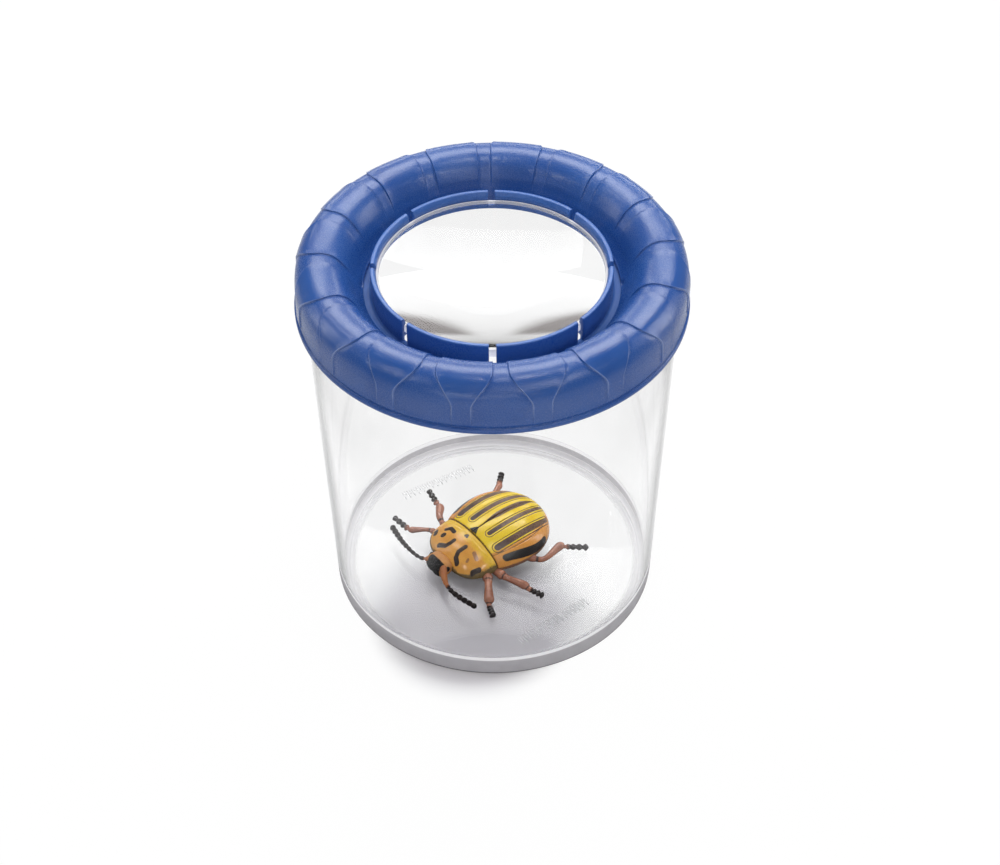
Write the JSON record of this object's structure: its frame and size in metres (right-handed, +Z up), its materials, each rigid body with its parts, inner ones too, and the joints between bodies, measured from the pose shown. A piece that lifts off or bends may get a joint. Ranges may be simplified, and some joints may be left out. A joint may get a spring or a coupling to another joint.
{
  "type": "bug catcher jar",
  "caption": "Clear round jar with a push-on doughnut lid that holds a domed magnifying lens, and a toy beetle on its floor.",
  "frame": {"origin": "centre of the foot ring's underside, on the jar's axis", "axes": "+Z up along the jar's axis, -Y towards the viewer, +X to the viewer's right"},
  "size_m": [0.1316, 0.1316, 0.1452],
  "materials": {
    "clear_jar": "clear polished plastic",
    "clear_lens": "clear polished plastic",
    "blue_lid": "satin moulded plastic",
    "beetle_yellow": "glossy painted plastic",
    "beetle_orange": "glossy painted plastic",
    "beetle_brown": "glossy painted plastic",
    "beetle_black": "glossy painted plastic"
  },
  "bodies": {
    "jar": {"jar": "clear_jar"},
    "lid": {"lid_ring": "blue_lid", "lens_carrier": "blue_lid", "lens": "clear_lens"},
    "beetle": {"beetle_belly": "beetle_brown", "beetle_left_wing_case": "beetle_yellow", "beetle_right_wing_case": "beetle_yellow", "beetle_neck_shield": "beetle_orange", "beetle_head": "beetle_black", "beetle_left_feeler": "beetle_black", "beetle_right_feeler": "beetle_black", "beetle_left_front_leg": "beetle_brown", "beetle_left_middle_leg": "beetle_brown", "beetle_left_rear_leg": "beetle_brown", "beetle_right_front_leg": "beetle_brown", "beetle_right_middle_leg": "beetle_brown", "beetle_right_rear_leg": "beetle_brown"}
  },
  "joints": [
    {"name": "lid_lift", "type": "slide", "parent": "jar", "child": "lid", "axis": [0, 0, 1], "range_m": [0, 0.06]},
    {"name": "beetle_turn", "type": "hinge", "parent": "jar", "child": "beetle", "pos_m": [0, 0, 0], "axis": [0, 0, 1], "continuous": true}
  ]
}
